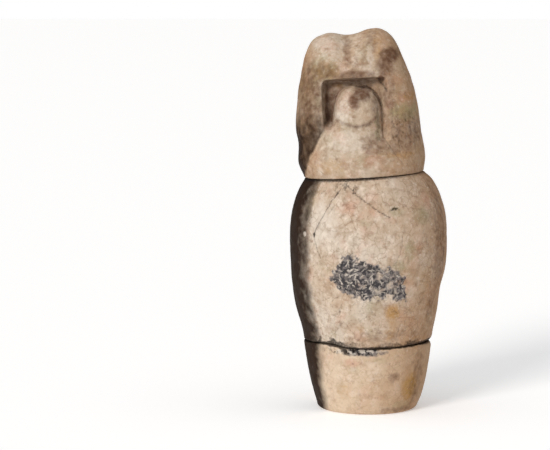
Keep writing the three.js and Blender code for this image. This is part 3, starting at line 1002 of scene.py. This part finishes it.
# %% [markdown]
# ## Weathered calcite
#
# Calcite is a soft, slightly see-through crystal that takes a dull polish. Buried, it turns from white to
# ivory and tan, and takes up iron, soot and resin in patches. So the material starts from ivory and lays one
# thin stain over the other, the way the ground did. Some layers are painted light and shade instead: a
# painted shadow on the left flank, painted shade in the niche, under the lip and brow and in the joints, and
# painted highlights high on the left. A stain either drifts everywhere, as noise of its own patch size in
# millimetres, or it follows one of the masks, with noise to fray its edge.


# %% Colours
def linear(hex_colour):
    """An sRGB hex colour as the linear RGBA that Blender's sockets take."""
    channels = [int(hex_colour[i : i + 2], 16) / 255 for i in (1, 3, 5)]
    return (*[c / 12.92 if c <= 0.04045 else ((c + 0.055) / 1.055) ** 2.4 for c in channels], 1)


def add_node(tree, kind, settings=None, inputs=None):
    """Adds a node with its settings. An input is a value, or another node's output, which gets linked."""
    made = tree.nodes.new(kind)
    for name, value in (settings or {}).items():
        setattr(made, name, value)
    for name, value in (inputs or {}).items():
        if isinstance(value, bpy.types.NodeSocket):
            tree.links.new(value, made.inputs[name])
        else:
            made.inputs[name].default_value = value
    return made


# %% [markdown]
# Each stain is a colour, the mask it follows if it has one, the size of its patches in millimetres, how far
# the noise frays it, the two levels between which it comes in, and how strong it gets at most. The finest
# grain of the real stone is under 1 mm and would not show, so it is drawn about 2 mm coarse.
#
# Over the stains lies the crazing, a net of hair-thin brown cracks with cells about 7 mm wide. A real crack
# is a tenth of a millimetre wide, and these are drawn about half a millimetre wide so that they show. The
# Specular IOR Level is low because dust and wear have taken most of the stone's own shine.

# %% Stains, in the order in which they lie on each other
STAINS = [
    ("#BDA288", None, 36, 1.0, -0.15, 0.35, 0.6),
    ("#C99F8B", None, 15, 1.0, 0.05, 0.4, 0.5),
    ("#9F9679", None, 19, 1.0, 0.08, 0.42, 0.45),
    ("#977B61", None, 11, 1.0, 0.02, 0.42, 0.55),
    ("#E6D9CB", None, 7, 1.0, 0.02, 0.42, 0.62),
    ("#A97E55", "warmth", 26, 0.5, 0.1, 1.15, 0.78),
    ("#BC8B76", "rose", 6, 0.7, 0.3, 1.0, 0.55),
    ("#8F8B66", "olive", 7, 0.7, 0.3, 1.0, 0.5),
    ("#AD8140", "ochre", 4, 0.6, 0.1, 1.15, 0.8),
    ("#7F6148", None, 4.5, 1.0, 0.03, 0.5, 0.5),
    ("#765B44", None, 2.3, 1.0, 0.12, 0.5, 0.4),
    ("#EFE5D9", None, 2.8, 1.0, 0.14, 0.5, 0.3),
    # The brown layer is stains, with painted shade in the lid's niche, under its lip and along its brow.
    ("#593A29", "stain", 5, 0.7, 0.15, 1.1, 0.88),
    # This dark layer is the painted shadow on the left flank.
    ("#25150A", "flank", 9, 0.3, 0.13, 0.9, 0.98),
    # The soot layers blacken the panel of writing, and paint shade above the lid's brow and along the foot's
    # break.
    ("#68666A", "soot", 4.5, 0.7, 0.33, 0.8, 0.8),
    ("#2B2B31", "soot", 2.6, 1.2, 0.6, 1.05, 0.86),
    # The pale layer is pale chips and strokes, and painted highlights high on the left of jar and lid.
    ("#D9CFC3", "chalk", 2.2, 0.5, 0.3, 0.85, 0.68),
    # The darkest layer is dirt in the marks and joints, with painted shade along the joints.
    ("#1A1410", "grime", 1.6, 0.5, 0.3, 1.0, 0.85),
]
CRAZING_COLOUR = "#A1866A"
CRAZING_CELL = 7
CRAZING_SPREAD = 16
CRAZING_DRIFT = 6
CRAZING_BEND = 4
POLISH_PATCH = 9
TOOTH_SIZE = 1.3
TOOTH_HEIGHT = 0.35
CALCITE_IOR = 1.5
WORN_SHINE = 0.07
print(len(STAINS), "stains, of which", sum(mask is not None for _, mask, *_ in STAINS), "follow a mask")


# %% One builder for the three stones
def calcite(name, ivory, seed, mottling, crazing):
    """Carved and worn calcite. It gives the eye a dull, soft gloss over blotches of ivory, tan and brown."""
    stone = bpy.data.materials.new(name)
    stone.use_nodes = True
    tree = stone.node_tree
    shader = tree.nodes["Principled BSDF"]
    place = add_node(tree, "ShaderNodeTexCoord").outputs["Object"]

    def grain(size, number, detail=3):
        settings = {"noise_dimensions": "4D"}
        inputs = {"Vector": place, "W": seed + 0.7 * number, "Scale": 1 / (size * MM), "Detail": detail}
        return add_node(tree, "ShaderNodeTexNoise", settings, inputs).outputs[0]

    def between(value, low, high, start, end):
        inputs = {"Value": value, "From Min": low, "From Max": high, "To Min": start, "To Max": end}
        return add_node(tree, "ShaderNodeMapRange", None, inputs).outputs[0]

    # A colour mix takes its share at input 0 and its two colours at inputs 6 and 7.
    colour = linear(ivory)
    for number, (stain, mask, size, fray, low, high, most) in enumerate(STAINS):
        level = between(grain(size, number), 0.25, 0.75, -0.5 * fray, 0.5 * fray)
        if mask:
            follow = add_node(tree, "ShaderNodeAttribute", {"attribute_name": mask}).outputs["Fac"]
            level = add_node(tree, "ShaderNodeMath", {"operation": "ADD"}, {0: level, 1: follow}).outputs[0]
        share = between(level, low, high, 0, most if mask else most * mottling)
        layers = {0: share, 6: colour, 7: linear(stain)}
        colour = add_node(tree, "ShaderNodeMix", {"data_type": "RGBA"}, layers).outputs[2]

    # Noise bends the net, so that its cells don't have the straight sides of crystals.
    drift = {"Vector": place, "Scale": 1 / (CRAZING_DRIFT * MM)}
    drift = add_node(tree, "ShaderNodeTexNoise", None, drift).outputs["Color"]
    bent = {0: drift, 1: (CRAZING_BEND * MM,) * 3, 2: place}
    bent = add_node(tree, "ShaderNodeVectorMath", {"operation": "MULTIPLY_ADD"}, bent).outputs[0]
    cells = {"Vector": bent, "Scale": 1 / (CRAZING_CELL * MM)}
    crack = add_node(tree, "ShaderNodeTexVoronoi", {"feature": "DISTANCE_TO_EDGE"}, cells).outputs[0]
    here = between(grain(CRAZING_SPREAD, 22), 0.42, 0.6, 0, crazing)
    crazed = {0: between(crack, 0, 0.09, 1, 0), 1: here}
    crazed = add_node(tree, "ShaderNodeMath", {"operation": "MULTIPLY"}, crazed).outputs[0]
    layers = {0: crazed, 6: colour, 7: linear(CRAZING_COLOUR)}
    darken = {"data_type": "RGBA", "blend_type": "MULTIPLY"}
    colour = add_node(tree, "ShaderNodeMix", darken, layers).outputs[2]
    tree.links.new(colour, shader.inputs["Base Color"])

    # The hand polish has worn dull, and in some patches more than in others.
    tree.links.new(between(grain(POLISH_PATCH, 20), 0.3, 0.7, 0.6, 0.82), shader.inputs["Roughness"])
    shader.inputs["IOR"].default_value = CALCITE_IOR
    shader.inputs["Specular IOR Level"].default_value = WORN_SHINE
    tooth = {"Height": grain(TOOTH_SIZE, 21, 5), "Strength": 0.5, "Distance": TOOTH_HEIGHT * MM}
    tree.links.new(add_node(tree, "ShaderNodeBump", None, tooth).outputs[0], shader.inputs["Normal"])
    return stone


# %% Hand over to the frame
for piece, solid, slot, stone in (
    (jar, "jar_body", "jar_calcite", calcite("ivory_calcite_of_the_jar", "#CDC0B1", 3, 1, 0.38)),
    (foot, "jar_foot", "foot_calcite", calcite("tan_calcite_of_the_foot", "#D6C3AC", 11, 0.6, 0.2)),
    (lid, "lid", "lid_calcite", calcite("grey_calcite_of_the_lid", "#C2B3A1", 19, 1, 0.13)),
):
    piece.data.materials.append(stone)
    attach(piece, "root")
    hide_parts(solid)
    print(piece.name, "is", stone.name, "with", len(stone.node_tree.nodes), "nodes")

# %% [markdown]
# ## Floor, light and camera
#
# A pale floor that runs on to the horizon, one broad soft light from the front left, a very soft one from
# above, and a dim warm sky for the shadows. The floor is matt white backdrop paper. It glows a little, as
# such a roll does under lamps of its own, which keeps the foot's shadow pale. Behind it all is plain white,
# which the camera sees and the stone doesn't, so that it throws no light on the jar's dark side.

# %% Floor
FLOOR_SIZE = 400
bpy.ops.mesh.primitive_plane_add(size=FLOOR_SIZE, location=(0, 0, 0))
floor = bpy.context.object
floor.name = "floor"
paper = bpy.data.materials.new("pale_paper")
paper.use_nodes = True
matt = paper.node_tree.nodes["Principled BSDF"].inputs
matt["Base Color"].default_value = linear("#F6F8FB")
matt["Roughness"].default_value = 0.9
matt["Emission Color"].default_value = linear("#FFFFFF")
matt["Emission Strength"].default_value = 0.31
floor.data.materials.append(paper)
print("floor:", FLOOR_SIZE, "m square")


# %% Lights
def sun(name, azimuth, elevation, strength, softness, colour):
    """A broad light from far away. Angles are in degrees, with azimuth 0 in front and minus to the left."""
    lamp = bpy.data.lights.new(name, "SUN")
    lamp.energy = strength
    lamp.angle = math.radians(softness)
    lamp.color = linear(colour)[:3]
    a, e = math.radians(azimuth), math.radians(elevation)
    towards_lamp = Vector((math.sin(a) * math.cos(e), -math.cos(a) * math.cos(e), math.sin(e)))
    holder = bpy.data.objects.new(name, lamp)
    holder.rotation_mode = "QUATERNION"
    holder.rotation_quaternion = towards_lamp.to_track_quat("Z", "Y")
    bpy.context.scene.collection.objects.link(holder)


sun("key_softbox", -29, 25, 2.05, 20, "#FFF9F2")
sun("top_softbox", 0, 86, 1.3, 80, "#FFFFFF")

world = bpy.data.worlds.new("studio")
world.use_nodes = True
bpy.context.scene.world = world
sky = world.node_tree
backdrop = add_node(sky, "ShaderNodeBackground", None, {"Color": linear("#FFFFFF"), "Strength": 1.0})
fill = add_node(sky, "ShaderNodeBackground", None, {"Color": linear("#FFF6EA"), "Strength": 0.08})
ray = add_node(sky, "ShaderNodeLightPath")
seen = add_node(
    sky,
    "ShaderNodeMixShader",
    None,
    {0: ray.outputs["Is Camera Ray"], 1: fill.outputs[0], 2: backdrop.outputs[0]},
)
sky.links.new(seen.outputs[0], sky.nodes["World Output"].inputs["Surface"])
print("lights:", sorted(lamp.name for lamp in bpy.data.lights))

# %% [markdown]
# The camera stands two metres off with a long lens, a little above the lid, and looks slightly down. It aims
# to the left of the jar, so the jar stands right of the middle.

# %% Camera
CAMERA_PLACE = Vector((0, -2.1, 0.369))
CAMERA_AIM = Vector((-0.0877, 0, 0.172))
FOCAL_LENGTH = 146.8
SENSOR_WIDTH = 36
lens = bpy.data.cameras.new("camera")
lens.lens = FOCAL_LENGTH
lens.sensor_width = SENSOR_WIDTH
camera = bpy.data.objects.new("camera", lens)
camera.location = CAMERA_PLACE
camera.rotation_mode = "QUATERNION"
camera.rotation_quaternion = (CAMERA_AIM - CAMERA_PLACE).to_track_quat("-Z", "Y")
bpy.context.scene.collection.objects.link(camera)
bpy.context.scene.camera = camera
bpy.context.scene.view_settings.view_transform = "Standard"
print("camera to aim in metres:", round((CAMERA_AIM - CAMERA_PLACE).length, 2))
